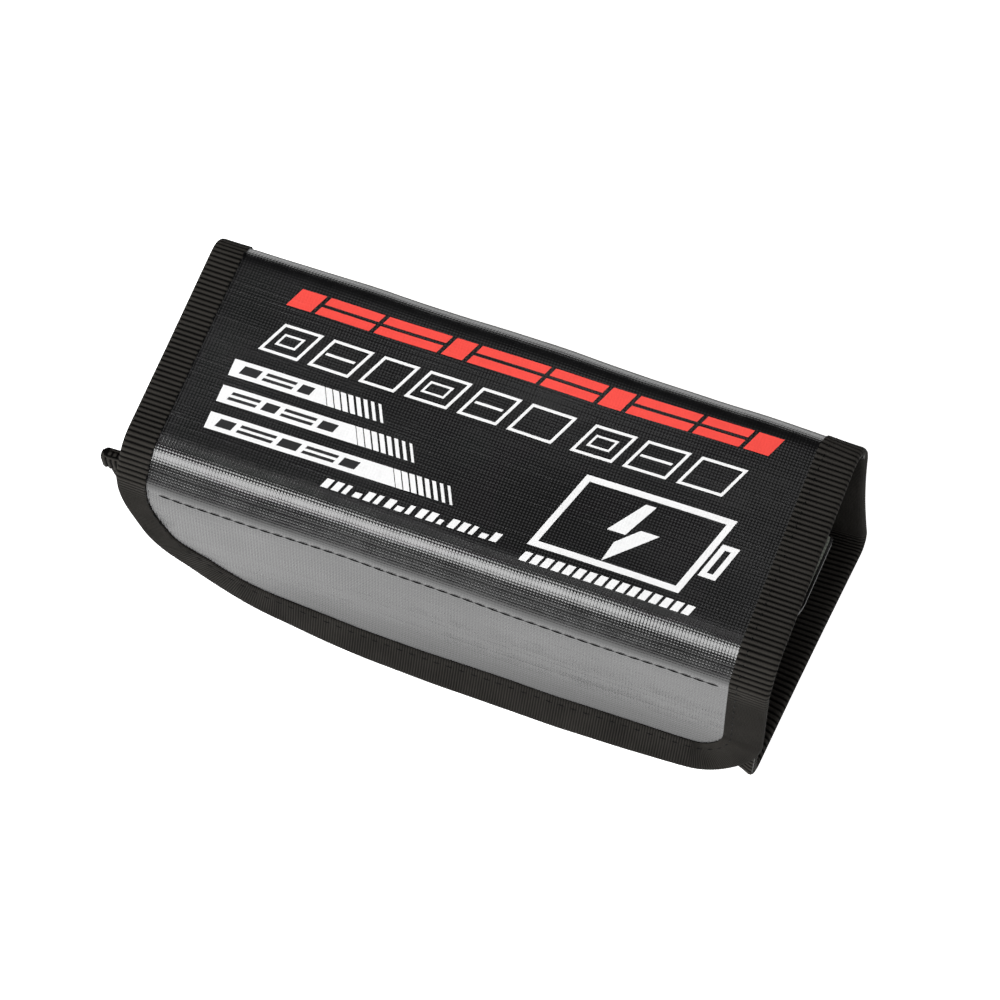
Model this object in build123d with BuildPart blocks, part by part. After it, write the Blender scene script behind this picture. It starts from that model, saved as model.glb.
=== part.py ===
"""A soft box bag of coated glass-fibre cloth for charging and storing battery packs.

Millimetres. +X runs along the bag, +Y points to the back, +Z points up. The origin is on the
underside of the bottom panel, midway between the ends and between the front and back walls.
The bag stands closed: the lid lies on top and its flap hangs in front of the front panel.
"""

import os
from math import atan, cos, degrees, radians, sin

from build123d import *

# Driving dimensions of the closed bag
length = 186.0  # over the binding tape of both ends
height = 60.0  # underside of the bottom panel to the top of the lid
front_face = -34.5  # outer face of the front panel
back_face = 37.5  # outer face of the back panel
flap_face = -38.5  # outer face of the flap where it leaves the fold
end_face = 82.0  # outer face of each end panel, recessed behind the seam flanges

# Cloth, tape and strips
cloth = 0.8  # outer coated cloth
lining = 0.6  # inner uncoated cloth
tape = 0.4  # one leaf of the folded binding tape
tape_width = 11.0  # a leaf from its folded edge to its selvedge
rim_tape_width = 5.5  # a leaf of the narrower tape on the front panel's top edge
strip = 1.0  # hook strip or loop strip, with its pile
wall = cloth + lining  # both cloths together
seam = wall + cloth  # both cloths and an end panel's flange

# Radii of the rolled edges, at the outer face
bottom_front_radius = 4.0
bottom_back_radius = 5.0
back_roll_radius = 10.0
front_fold_radius = 9.0

# Heights of the open edges
front_rim = 50.0
end_rim = 52.0

# The flap's drop in front of the front panel
flap_hem = 0.5  # height of the hem's lower edge
flap_end_lean = 1.0  # how far the hem stands forward at the ends
flap_bulge = 5.5  # how much further the hem stands forward in the middle
flap_corner_radius = 24.0
front_flange_flare = 6.0  # how far the left front flange spreads at its top

# Hook and loop
hook_bottom = 21.0
hook_top = 44.0
loop_bottom = 12.0
loop_top = 49.5
strip_half_length = 79.0
stitch_length = 2.6
stitch_pitch = 3.6
stitch_width = 0.5
stitch_rise = 0.25  # how far a thread stands off the cloth
stitch_margin = 2.0  # from a strip's edge to its row of stitches

# Running gap between two bodies along a rolled edge
fold_gap = 0.3

half_length = length / 2
cloth_end = half_length - tape  # where the cloth ends inside the folded tape
tape_start = half_length - tape_width  # the tape's selvedge
reach = half_length + 20.0  # past every edge, for cutting shapes

# Centres of the rolled edges, as (Y, Z)
bottom_front = (front_face + bottom_front_radius, bottom_front_radius)
bottom_back = (back_face - bottom_back_radius, bottom_back_radius)
back_roll = (back_face - back_roll_radius, height - back_roll_radius)
front_fold = (flap_face + front_fold_radius, height - front_fold_radius)
front_top = (front_face + bottom_front_radius, front_rim)

# Half a rolled edge, less half of the running gap
roll_half = 45.0 - degrees(fold_gap / 2 / back_roll_radius)
fold_half = 45.0 - degrees(fold_gap / 2 / front_fold_radius)


def on_circle(centre, radius, angle):
    """The point at an angle on a circle in the YZ plane."""
    return (centre[0] + radius * cos(radians(angle)), centre[1] + radius * sin(radians(angle)))


def section(facing, first, last, outer, inner):
    """One wall's cross-section in the YZ plane, between two depths below the bag's outer face.

    The wall's flat part faces the angle `facing`. `first` and `last` are the rolled edges at its
    two ends, each as (centre, radius at the outer face, angle of the roll that this wall takes).
    """
    centre_1, radius_1, turn_1 = first
    centre_2, radius_2, turn_2 = last
    start = facing - turn_1
    end = facing + turn_2
    with BuildSketch() as wall_section:
        with BuildLine():
            if turn_1:
                CenterArc(centre_1, radius_1 - outer, start, turn_1)
                CenterArc(centre_1, radius_1 - inner, start, turn_1)
            if turn_2:
                CenterArc(centre_2, radius_2 - outer, facing, turn_2)
                CenterArc(centre_2, radius_2 - inner, facing, turn_2)
            for depth in (outer, inner):
                Line(
                    on_circle(centre_1, radius_1 - depth, facing),
                    on_circle(centre_2, radius_2 - depth, facing),
                )
            for centre, radius, angle in ((centre_1, radius_1, start), (centre_2, radius_2, end)):
                Line(on_circle(centre, radius - outer, angle), on_circle(centre, radius - inner, angle))
        make_face()
    return wall_section.sketch


def front_section(outer, inner):
    rim = (front_top, bottom_front_radius, 0)
    foot = (bottom_front, bottom_front_radius, 45)
    return section(180, rim, foot, outer, inner)


def bottom_section(outer, inner):
    front = (bottom_front, bottom_front_radius, 45)
    back = (bottom_back, bottom_back_radius, 45)
    return section(270, front, back, outer, inner)


def back_section(outer, inner):
    foot = (bottom_back, bottom_back_radius, 45)
    roll = (back_roll, back_roll_radius, roll_half)
    return section(0, foot, roll, outer, inner)


def lid_section(outer, inner):
    roll = (back_roll, back_roll_radius, roll_half)
    fold = (front_fold, front_fold_radius, fold_half)
    return section(90, roll, fold, outer, inner)


def save(part, name):
    """Labels one finished piece and writes it to its own file."""
    part.label = name
    export_step(part, f"parts/{name}.step")


os.makedirs("parts", exist_ok=True)

# ---------------------------------------------------------------- body: cloth walls

# Bottom panel. Under the tape the cloth is pressed thin, so that the tape lies flush with it.
with BuildPart() as bottom_panel:
    with BuildSketch(Plane.YZ):
        add(bottom_section(0, cloth))
    extrude(amount=tape_start, both=True)
    with BuildSketch(Plane.YZ):
        add(bottom_section(tape, cloth))
    extrude(amount=cloth_end, both=True)
save(bottom_panel.part, "bottom_panel")

with BuildPart() as bottom_lining:
    with BuildSketch(Plane.YZ):
        add(bottom_section(cloth, wall))
    extrude(amount=cloth_end, both=True)
save(bottom_lining.part, "bottom_lining")


def front_outline(edge, top):
    """The front wall's outline in the XZ plane. Its left edge spreads towards the top."""
    with BuildSketch() as outline:
        with BuildLine():
            Polyline((-edge, 0), (edge, 0), (edge, top), (-edge - front_flange_flare, top), close=True)
        make_face()
    return outline.sketch


# Front panel and its lining: the left flange spreads outwards at the top.
for outer, inner, name in ((0, cloth, "front_panel"), (cloth, wall, "front_lining")):
    with BuildPart() as front_wall:
        with BuildSketch(Plane.YZ):
            add(front_section(outer, inner))
        extrude(amount=reach, both=True)
        with BuildSketch(Plane.XZ):
            add(front_outline(cloth_end, front_rim))
        extrude(amount=reach, both=True, mode=Mode.INTERSECT)
    save(front_wall.part, name)

for outer, inner, name in ((0, cloth, "back_panel"), (cloth, wall, "back_lining")):
    with BuildPart() as back_wall:
        with BuildSketch(Plane.YZ):
            add(back_section(outer, inner))
        extrude(amount=cloth_end, both=True)
    save(back_wall.part, name)

# ---------------------------------------------------------------- body: end walls


def end_outline(depth, rim):
    """The space inside the wrap at a depth below its outer face, cut off at a rim height."""
    low_y = front_face + depth
    high_y = back_face - depth
    corners = (bottom_front_radius - depth, bottom_back_radius - depth, back_roll_radius - depth)
    with BuildSketch() as outline:
        with BuildLine():
            top = FilletPolyline(
                (low_y, height),
                (low_y, depth),
                (high_y, depth),
                (high_y, height - depth),
                (0, height - depth),
                radius=corners,
            )
            Line(top @ 1, top @ 0)
        make_face()
        with Locations((0, rim + height)):
            Rectangle(4 * height, 2 * height, mode=Mode.SUBTRACT)
    return outline.sketch


for side, hand in ((-1, "left"), (1, "right")):
    # End panel: a flat wall whose front, bottom and back edges turn outwards into the seams.
    with BuildPart() as end_panel:
        with BuildSketch(Plane.YZ.offset(side * (end_face - cloth))):
            add(end_outline(wall, end_rim))
        extrude(amount=side * (cloth_end - end_face + cloth))
        with BuildSketch(Plane.YZ.offset(side * end_face)):
            add(end_outline(seam, height))
        extrude(amount=side * reach, mode=Mode.SUBTRACT)
    save(end_panel.part, f"{hand}_end_panel")

    with BuildPart() as end_lining:
        with BuildSketch(Plane.YZ.offset(side * (end_face - wall))):
            add(end_outline(wall, end_rim))
        extrude(amount=side * lining)
    save(end_lining.part, f"{hand}_end_lining")

# ---------------------------------------------------------------- body: binding tape


for side, hand in ((-1, "left"), (1, "right")):
    # Front binding: tape folded round the front panel, its lining and the end panel's flange.
    with BuildPart() as front_binding:
        with BuildSketch(Plane.YZ):
            add(front_section(-tape, seam + tape))
        extrude(amount=reach, both=True)
        with BuildSketch(Plane.XZ):
            add(front_outline(half_length, front_rim))
        extrude(amount=reach, both=True, mode=Mode.INTERSECT)
        with BuildSketch(Plane.XZ):
            add(front_outline(tape_start, front_rim))
        extrude(amount=reach, both=True, mode=Mode.SUBTRACT)
        with BuildPart(mode=Mode.PRIVATE) as clamped:
            with BuildSketch(Plane.YZ):
                add(front_section(0, seam))
            extrude(amount=reach, both=True)
            with BuildSketch(Plane.XZ):
                add(front_outline(cloth_end, front_rim))
            extrude(amount=reach, both=True, mode=Mode.INTERSECT)
        add(clamped.part, mode=Mode.SUBTRACT)
        split(bisect_by=Plane.YZ, keep=Keep.TOP if side > 0 else Keep.BOTTOM)
    save(front_binding.part, f"{hand}_front_binding")

    # Bottom and back bindings: straight runs of the same tape.
    for place, wall_section, under in (("bottom", bottom_section, 0), ("back", back_section, -tape)):
        with BuildPart() as end_binding:
            with BuildSketch(Plane.YZ.offset(side * tape_start)):
                add(wall_section(under, seam + tape))
            extrude(amount=side * tape_width)
            with BuildSketch(Plane.YZ.offset(side * tape_start)):
                add(wall_section(under + tape, seam))
            extrude(amount=side * (tape_width - tape), mode=Mode.SUBTRACT)
        save(end_binding.part, f"{hand}_{place}_binding")

# Front rim binding: narrower tape folded over the front panel's open top edge.
rim_left = -tape_start - front_flange_flare * (front_rim - rim_tape_width) / front_rim
inside = end_face - wall
with BuildPart() as front_rim_binding:
    with BuildSketch(Plane.XZ):
        with Locations(((rim_left + tape_start) / 2, front_rim - rim_tape_width / 2)):
            Rectangle(tape_start - rim_left, rim_tape_width)
    extrude(amount=-front_face + tape)
    with BuildSketch(Plane.XZ):
        with Locations((0, front_rim + (tape - rim_tape_width) / 2)):
            Rectangle(2 * inside, rim_tape_width + tape)
    extrude(amount=-front_face + tape)
    with BuildSketch(Plane.XZ.offset(-front_face)):
        with Locations((0, front_rim / 2)):
            Rectangle(2 * reach, front_rim)
    extrude(amount=-wall, mode=Mode.SUBTRACT)
    with BuildSketch(Plane.XZ):
        Rectangle(2 * reach, 2 * reach)
    extrude(amount=-front_face - wall - tape, mode=Mode.SUBTRACT)
    with BuildSketch(Plane.XZ):
        for side in (-1, 1):
            with Locations((side * (inside + reach / 2), 0)):
                Rectangle(reach, 2 * reach)
    extrude(amount=-front_face, mode=Mode.SUBTRACT)
save(front_rim_binding.part, "front_rim_binding")

# ---------------------------------------------------------------- body: hook strip

with BuildPart() as hook_strip:
    with BuildSketch(Plane.XZ.offset(-front_face)):
        with Locations((0, (hook_bottom + hook_top) / 2)):
            RectangleRounded(2 * strip_half_length, hook_top - hook_bottom, 1.5)
    extrude(amount=strip)
save(hook_strip.part, "hook_strip")

stitches = int(2 * (strip_half_length - stitch_margin) / stitch_pitch)
row_spacing = hook_top - hook_bottom - 2 * stitch_margin
with BuildPart() as hook_stitching:
    with BuildSketch(Plane.XZ.offset(-front_face + strip)):
        with Locations((0, (hook_bottom + hook_top) / 2)):
            with GridLocations(stitch_pitch, row_spacing, stitches, 2):
                SlotOverall(stitch_length, stitch_width)
    extrude(amount=stitch_rise)
save(hook_stitching.part, "hook_strip_stitching")

# ---------------------------------------------------------------- lid

for outer, inner, name in ((0, cloth, "lid_panel"), (cloth, wall, "lid_lining")):
    with BuildPart() as lid_sheet:
        with BuildSketch(Plane.YZ):
            add(lid_section(outer, inner))
        extrude(amount=cloth_end, both=True)
    save(lid_sheet.part, name)

for side, hand in ((-1, "left"), (1, "right")):
    with BuildPart() as lid_binding:
        with BuildSketch(Plane.YZ.offset(side * tape_start)):
            add(lid_section(-tape, wall + tape))
        extrude(amount=side * tape_width)
        with BuildSketch(Plane.YZ.offset(side * tape_start)):
            add(lid_section(0, wall))
        extrude(amount=side * (tape_width - tape), mode=Mode.SUBTRACT)
    save(lid_binding.part, f"{hand}_lid_binding")

# ---------------------------------------------------------------- flap

drop_top = front_fold[1] - 1.0  # below this the flap leans forward
def flap_layer(outer, inner):
    """One layer of the flap: its half of the fold, and the drop that bulges towards the hem."""
    with BuildPart() as layer:
        with BuildSketch(Plane.YZ):
            roll = (front_fold, front_fold_radius, fold_half)
            foot = ((front_fold[0], drop_top), front_fold_radius, 0)
            add(section(180, roll, foot, outer, inner))
        extrude(amount=half_length, both=True)
        with BuildSketch(Plane.XY.offset(drop_top)):
            with Locations((0, flap_face + (outer + inner) / 2)):
                Rectangle(length, inner - outer)
        with BuildSketch(Plane.XY.offset(flap_hem)):
            with BuildLine():
                for depth in (outer, inner):
                    ThreePointArc(
                        (-half_length, flap_face - flap_end_lean + depth),
                        (0, flap_face - flap_end_lean - flap_bulge + depth),
                        (half_length, flap_face - flap_end_lean + depth),
                    )
                for x in (-half_length, half_length):
                    Line(
                        (x, flap_face - flap_end_lean + outer),
                        (x, flap_face - flap_end_lean + inner),
                    )
            make_face()
        loft(ruled=True)
    return layer.part


def flap_outline(inset):
    """The flap's outline in the XZ plane, set in from its taped edge, with rounded lower corners."""
    edge = half_length - inset
    with BuildSketch() as outline:
        with BuildLine():
            low = flap_hem + inset
            sides = FilletPolyline(
                (-edge, height + tape),
                (-edge, low),
                (edge, low),
                (edge, height + tape),
                radius=flap_corner_radius - inset,
            )
            Line(sides @ 1, sides @ 0)
        make_face()
    return outline.sketch


for outer, inner, name in ((0, cloth, "flap_panel"), (cloth, wall, "flap_lining")):
    with BuildPart() as flap_sheet:
        add(flap_layer(outer, inner))
        with BuildSketch(Plane.XZ):
            add(flap_outline(tape))
        extrude(amount=reach, both=True, mode=Mode.INTERSECT)
    save(flap_sheet.part, name)

# Flap binding: one strip of tape down the left side, along the hem and up the right side.
with BuildPart() as flap_clamped:
    add(flap_layer(0, wall))
    with BuildSketch(Plane.XZ):
        add(flap_outline(tape))
    extrude(amount=reach, both=True, mode=Mode.INTERSECT)
with BuildPart() as flap_binding:
    add(flap_layer(-tape, wall + tape))
    with BuildSketch(Plane.XZ):
        add(flap_outline(0))
    extrude(amount=reach, both=True, mode=Mode.INTERSECT)
    with BuildSketch(Plane.XZ):
        add(flap_outline(tape_width))
        with Locations((0, height)):
            Rectangle(2 * tape_start, height)
    extrude(amount=reach, both=True, mode=Mode.SUBTRACT)
    add(flap_clamped.part, mode=Mode.SUBTRACT)
save(flap_binding.part, "flap_binding")

# Loop strip: follows the flap's inner face, opposite the hook strip.
with BuildPart() as loop_strip:
    add(flap_layer(wall, wall + strip))
    with BuildSketch(Plane.XZ):
        with Locations((0, (loop_bottom + loop_top) / 2)):
            RectangleRounded(2 * strip_half_length, loop_top - loop_bottom, 1.5)
        add(flap_outline(tape_width), mode=Mode.INTERSECT)
    extrude(amount=reach, both=True, mode=Mode.INTERSECT)
save(loop_strip.part, "loop_strip")

# The thread along the loop strip's top edge, seen on the flap's outer face.
row_height = loop_top - stitch_margin
hem_radius = (half_length**2 + flap_bulge**2) / (2 * flap_bulge)
with BuildPart() as flap_stitching:
    for number in range(stitches):
        x = (number - (stitches - 1) / 2) * stitch_pitch
        forward = flap_end_lean + flap_bulge + (hem_radius**2 - x**2) ** 0.5 - hem_radius
        slope = forward / (drop_top - flap_hem)
        y = flap_face - slope * (drop_top - row_height) - stitch_rise / 2
        with Locations(Location((x, y, row_height), (-degrees(atan(slope)), 0, 0))):
            Box(stitch_length, stitch_rise, stitch_width)
save(flap_stitching.part, "flap_stitching")
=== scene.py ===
import math

import bmesh
import bpy
import numpy as np
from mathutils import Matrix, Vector


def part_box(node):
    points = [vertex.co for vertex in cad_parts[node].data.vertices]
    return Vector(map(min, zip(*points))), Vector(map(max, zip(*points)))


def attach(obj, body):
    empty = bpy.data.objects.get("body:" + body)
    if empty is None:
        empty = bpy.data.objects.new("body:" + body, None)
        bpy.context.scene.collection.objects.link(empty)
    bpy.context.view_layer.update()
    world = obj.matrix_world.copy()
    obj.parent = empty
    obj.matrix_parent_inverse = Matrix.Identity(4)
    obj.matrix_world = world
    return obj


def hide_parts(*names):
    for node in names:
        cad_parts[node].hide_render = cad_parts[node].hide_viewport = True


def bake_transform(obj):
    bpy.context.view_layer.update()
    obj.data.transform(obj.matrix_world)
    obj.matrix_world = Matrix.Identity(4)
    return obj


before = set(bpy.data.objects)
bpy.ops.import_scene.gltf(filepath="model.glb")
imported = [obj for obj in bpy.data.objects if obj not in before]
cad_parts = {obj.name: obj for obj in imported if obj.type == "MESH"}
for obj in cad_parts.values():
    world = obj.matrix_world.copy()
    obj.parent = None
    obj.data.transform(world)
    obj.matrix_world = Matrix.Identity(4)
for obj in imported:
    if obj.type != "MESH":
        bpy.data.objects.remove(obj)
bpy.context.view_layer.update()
mm = 0.001

# ---------------------------------------------------------------- camera
# Looks down on the closed bag from its front right corner, through a long lens.

azimuth = math.radians(20.8)
elevation = math.radians(63.1)
camera_distance = 1.22
away = Vector((
    math.sin(azimuth) * math.cos(elevation),
    -math.cos(azimuth) * math.cos(elevation),
    math.sin(elevation),
))
across = Vector((math.cos(azimuth), math.sin(azimuth), 0))
aim = Vector((0, 0, 30 * mm)) + across * 1.85 * mm - away.cross(across) * 0.61 * mm
camera = bpy.data.objects.new("camera", bpy.data.cameras.new("camera"))
camera.data.sensor_width = 36
camera.data.lens = 162
camera.data.clip_start = 0.05
camera.location = aim + away * camera_distance
camera.rotation_mode = "QUATERNION"
camera.rotation_quaternion = (-away).to_track_quat("-Z", "Y")
bpy.context.collection.objects.link(camera)
bpy.context.scene.camera = camera
bpy.context.scene.view_settings.view_transform = "Standard"

# ---------------------------------------------------------------- studio floor
# A wide white sweep. It glows, as overexposed white paper does, so shadows stay faint. The glow
# fades out well in front of the bag, where it would mirror in the flap.


def new_finish(name):
    """A material with a plain Principled shader, and its nodes and links."""
    finish = bpy.data.materials.new(name)
    finish.use_nodes = True
    nodes = finish.node_tree.nodes
    return finish, nodes, finish.node_tree.links, nodes["Principled BSDF"].inputs


floor_half = 4.0
floor_z = -0.3 * mm
dark_from = -0.5
bright_from = -0.16
floor_mesh = bpy.data.meshes.new("floor")
floor_mesh.from_pydata(
    [(x, y, floor_z) for x, y in ((-1, -1), (1, -1), (1, 1), (-1, 1))], [], [(0, 1, 2, 3)]
)
floor = bpy.data.objects.new("floor", floor_mesh)
floor.scale = (floor_half, floor_half, 1)
bpy.context.collection.objects.link(floor)
paper, nodes, links, shader = new_finish("floor_paper")
shader["Base Color"].default_value = (0.86, 0.86, 0.855, 1)
shader["Roughness"].default_value = 0.9
shader["Specular IOR Level"].default_value = 0.1
shader["Emission Color"].default_value = (1, 1, 1, 1)
spot = nodes.new("ShaderNodeTexCoord")
spread = nodes.new("ShaderNodeSeparateXYZ")
links.new(spot.outputs["Object"], spread.inputs[0])
fade = nodes.new("ShaderNodeMapRange")
fade.interpolation_type = "SMOOTHSTEP"
fade.inputs["From Min"].default_value = dark_from / floor_half
fade.inputs["From Max"].default_value = bright_from / floor_half
fade.inputs["To Min"].default_value = 0.02
fade.inputs["To Max"].default_value = 0.9
links.new(spread.outputs["Y"], fade.inputs["Value"])
links.new(fade.outputs[0], shader["Emission Strength"])
floor_mesh.materials.append(paper)

# ---------------------------------------------------------------- studio light
# A large soft box in front and above, a weak one overhead, a weak one at each side, and a dark
# studio above a pale horizon.


def soft_light(name, place, aim_at, size, power):
    """A rectangular area light that faces a point."""
    lamp = bpy.data.lights.new(name, "AREA")
    lamp.shape = "RECTANGLE"
    lamp.size, lamp.size_y = size
    lamp.energy = power
    holder = bpy.data.objects.new(name, lamp)
    holder.location = place
    holder.rotation_mode = "QUATERNION"
    holder.rotation_quaternion = (Vector(aim_at) - Vector(place)).to_track_quat("-Z", "Y")
    bpy.context.collection.objects.link(holder)


soft_light("front_softbox", (-0.35, -0.95, 1.05), (0, -0.03, 0.05), (1.3, 0.95), 26)
soft_light("overhead_softbox", (0.1, 0.2, 1.6), (0, 0, 0), (1.6, 1.0), 2.5)
soft_light("left_softbox", (-1.3, 0.3, 0.9), (0, 0, 0), (0.5, 0.5), 5)
soft_light("right_softbox", (1.4, 0.5, 1.0), (0, 0, 0), (0.5, 0.5), 4)

studio = bpy.data.worlds.new("studio")
bpy.context.scene.world = studio
studio.use_nodes = True
nodes = studio.node_tree.nodes
links = studio.node_tree.links
direction = nodes.new("ShaderNodeTexCoord")
height = nodes.new("ShaderNodeSeparateXYZ")
links.new(direction.outputs["Generated"], height.inputs[0])
ramp = nodes.new("ShaderNodeValToRGB")
links.new(height.outputs["Z"], ramp.inputs[0])
ramp.color_ramp.elements[0].position = 0.02
ramp.color_ramp.elements[0].color = (0.9, 0.9, 0.9, 1)
ramp.color_ramp.elements[1].position = 0.12
ramp.color_ramp.elements[1].color = (0.017, 0.017, 0.0175, 1)
links.new(ramp.outputs[0], nodes["Background"].inputs["Color"])

# ---------------------------------------------------------------- back wall and rear of the lid
# One continuous black cloth: woven glass fibre, coated with silicone on both faces, folded round
# the bag. This length is the back wall, the soft roll that hinges the lid, and the lid's rear half.

front_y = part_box("front_panel")[0].y
back_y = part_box("back_panel")[1].y
top_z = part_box("lid_panel")[1].z
rim_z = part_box("front_panel")[1].z
cloth_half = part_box("lid_panel")[1].x
tape_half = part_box("right_lid_binding")[1].x
bag_long = 186 * mm
cloth_thick = 0.8 * mm
lining_thick = 0.6 * mm
both_thick = cloth_thick + lining_thick
fold_y = front_y - 4 * mm
fold_tip = front_y + 1.9 * mm
crease_y = fold_y - 0.8 * mm
crease_z = top_z - 9 * mm
hem_y = fold_y - 1.3 * mm
hem_z = 0.8 * mm
sole_z = 0.6 * mm
wrap_radii = (4.5 * mm, 6 * mm, 8.5 * mm, 9 * mm, 3 * mm)


def wrap_directions(x):
    """Corners and headings of the wrap's cross-section at each place along the bag.

    The section runs down the front wall, under the bottom, up the back wall, over the lid
    and down the flap. A heading is the angle of the way it runs, in the YZ plane.
    """
    one = np.ones_like(x)
    y = np.stack([front_y * one, front_y * one, back_y * one, back_y * one, fold_tip * one,
                  crease_y * one, hem_y * one], -1)
    z = np.stack([rim_z * one, sole_z * one, sole_z * one, top_z * one, top_z * one, crease_z * one,
                  hem_z * one], -1)
    heading = np.unwrap(np.arctan2(np.diff(z, axis=-1), np.diff(y, axis=-1)), axis=-1)
    return y, z, heading


def wrap_spans(x):
    """The eleven spans of the section, straight and rolled in turn, from the front wall to the flap.

    Each is its start, its end, its first and last heading, and its radius, or 0 where it is straight.
    """
    y, z, heading = wrap_directions(x)
    spans = []
    start = (y[..., 0], z[..., 0])
    for k, radius in enumerate(wrap_radii):
        corner_y = y[..., k + 1]
        corner_z = z[..., k + 1]
        first = heading[..., k]
        last = heading[..., k + 1]
        reach = radius * np.tan((last - first) / 2)
        low = (corner_y - reach * np.cos(first), corner_z - reach * np.sin(first))
        high = (corner_y + reach * np.cos(last), corner_z + reach * np.sin(last))
        spans.append((start, low, first, first, 0))
        spans.append((low, high, first, last, radius))
        start = high
    spans.append((start, (y[..., -1], z[..., -1]), heading[..., -1], heading[..., -1], 0))
    return spans


def span_lengths():
    """Length of each span of the section, measured midway along the bag."""
    lengths = []
    for start, end, first, last, radius in wrap_spans(np.zeros(1)):
        straight = math.hypot((end[0] - start[0])[0], (end[1] - start[1])[0])
        lengths.append(radius * (last - first)[0] if radius else straight)
    return lengths


# Distances along the cloth, from the front wall's rim to the flap's hem
span_marks = np.concatenate([[0], np.cumsum(span_lengths())])
at_rim, at_front_foot = span_marks[:2]
at_back_foot, at_roll, at_lid_back, at_lid_front = span_marks[4:8]
at_drop, at_hem = span_marks[-2:]
at_lid_middle = (at_lid_back + at_lid_front) / 2
at_loop_stitches = at_drop + 2.2 * mm

# How far the cloth stops inside the fold of its tape, at the sides and at the front rim
cloth_inset = 0.4 * mm
rim_inset = 0.6 * mm

hem_flare = 5.7 * mm
hem_flare_depth = 21 * mm
stitch_groove = 0.25 * mm


def ripple(x, s):
    """Gentle waves in the cloth, as a fixed sum of long and short ones."""
    waves = ((61, 47, 0.3, 0.16), (-38, 82, 1.9, 0.14), (113, 21, 4.1, 0.10), (-97, -71, 2.2, 0.09),
             (211, 64, 0.9, 0.035), (-173, 205, 3.3, 0.03), (59, 318, 5.2, 0.025), (347, -122, 1.1, 0.02))
    total = 0
    for along, down, phase, size in waves:
        total = total + size * mm * np.sin(along * x + down * s + phase)
    return total


def softness(x, s, t):
    """How far the slack cloth stands off its drawn section, measured outwards."""
    inside = np.clip(1 - (x / (tape_half - 10 * mm)) ** 2, 0, 1)
    # spans of the back wall, its roll, the lid and the flap's drop, and how far each stands off
    fullness = {4: 1.2 * mm, 5: 0.2 * mm, 6: -0.9 * mm, 10: 0.5 * mm}
    off = 0.0
    for span, size in fullness.items():
        share = np.clip(t - span, 0, 1)
        off = off + size * np.sin(math.pi * share) * inside
    # the waves fade out round the feet, so that the bottom lies flat
    upright = np.clip(t - 3.6, 0, 1) + np.clip(0.8 - t, 0, 1)
    off = off + ripple(x, s) * np.clip(upright, 0, 1)
    # the hem flares forward, most of all right of the middle
    near_hem = np.clip(1 - (at_hem - s) / hem_flare_depth, 0, 1) ** 1.7
    from_peak = x - 22 * mm
    flare_here = np.where(from_peak < 0, 1 - (from_peak / (98 * mm)) ** 2, 1 - (from_peak / (74 * mm)) ** 4)
    off = off + near_hem * hem_flare * np.clip(flare_here, 0.05, 1)
    # the loop strip's row of stitches pulls a shallow groove
    groove = stitch_groove * np.exp(-(((s - at_loop_stitches) / (0.8 * mm)) ** 2))
    return off - groove * (np.abs(x) < tape_half - 9 * mm)


def slumped(points, share):
    """Skews the body's ends: the right foot splays out at the back, and both feet tuck in at the front."""
    x, y, z = points[..., 0], points[..., 1], points[..., 2]
    right = np.clip(x / tape_half, 0, 1) ** 3 * share
    low = np.clip(1 - z / top_z, 0, 1)
    back = np.clip((y - front_y) / (back_y - front_y), 0, 1)
    dx = (-2.6 + (2.8 + 3.6 * low**2) * back) * mm * right
    dy = (-7.7 * (1 - back) ** 3 * low**2 + 1.4 * back * low**2) * mm * right**2
    left = np.clip(-x / tape_half, 0, 1.1) ** 3 * share
    dx = dx + 6 * mm * left * low**1.5 * (1 - back) ** 2
    dy = dy + (3 * low**2 * (1 - back) ** 3 - 1.3 * back) * mm * left
    return np.stack([x + dx, y + dy, z], -1)


def wrap(x, s, depth):
    """The place at (along the bag, along the cloth) and a depth below the wrap's outer face."""
    x, s, depth = np.broadcast_arrays(np.asarray(x, float), np.asarray(s, float), np.asarray(depth, float))
    t = np.interp(s, span_marks, np.arange(len(span_marks)))
    span = np.clip(t.astype(int), 0, len(span_marks) - 2)
    share = t - span
    y = np.zeros_like(x)
    z = np.zeros_like(x)
    out_y = np.zeros_like(x)
    out_z = np.zeros_like(x)
    for k, (start, end, first, last, radius) in enumerate(wrap_spans(x)):
        here = span == k
        heading = first + (last - first) * share
        if radius:
            centre_y = start[0] - radius * np.sin(first)
            centre_z = start[1] + radius * np.cos(first)
            at_y = centre_y + radius * np.sin(heading)
            at_z = centre_z - radius * np.cos(heading)
        else:
            at_y = start[0] + (end[0] - start[0]) * share
            at_z = start[1] + (end[1] - start[1]) * share
        y = np.where(here, at_y, y)
        z = np.where(here, at_z, z)
        out_y = np.where(here, np.sin(heading), out_y)
        out_z = np.where(here, -np.cos(heading), out_z)
    # past the rim and the hem the cloth would run straight on
    beyond = np.where(s < at_rim, s - at_rim, np.where(s > at_hem, s - at_hem, 0))
    y = y + beyond * -out_z
    z = z + beyond * out_y
    off = softness(x, s, t) - depth
    at_body = np.clip((at_lid_back - s) / (at_lid_back - at_roll), 0, 1)
    return slumped(np.stack([x + 0 * off, y + out_y * off, z + out_z * off], -1), at_body)


def grid_faces(rows, columns, first=0, closed=False):
    """Four-cornered faces between neighbouring points of a grid."""
    i, j = np.meshgrid(np.arange(rows - 1), np.arange(columns - (0 if closed else 1)), indexing="ij")
    after = (j + 1) % columns
    here = i * columns
    faces = np.stack([here + j, here + after, here + columns + after, here + columns + j], -1)
    return (faces.reshape(-1, 4) + first).tolist()


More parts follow.
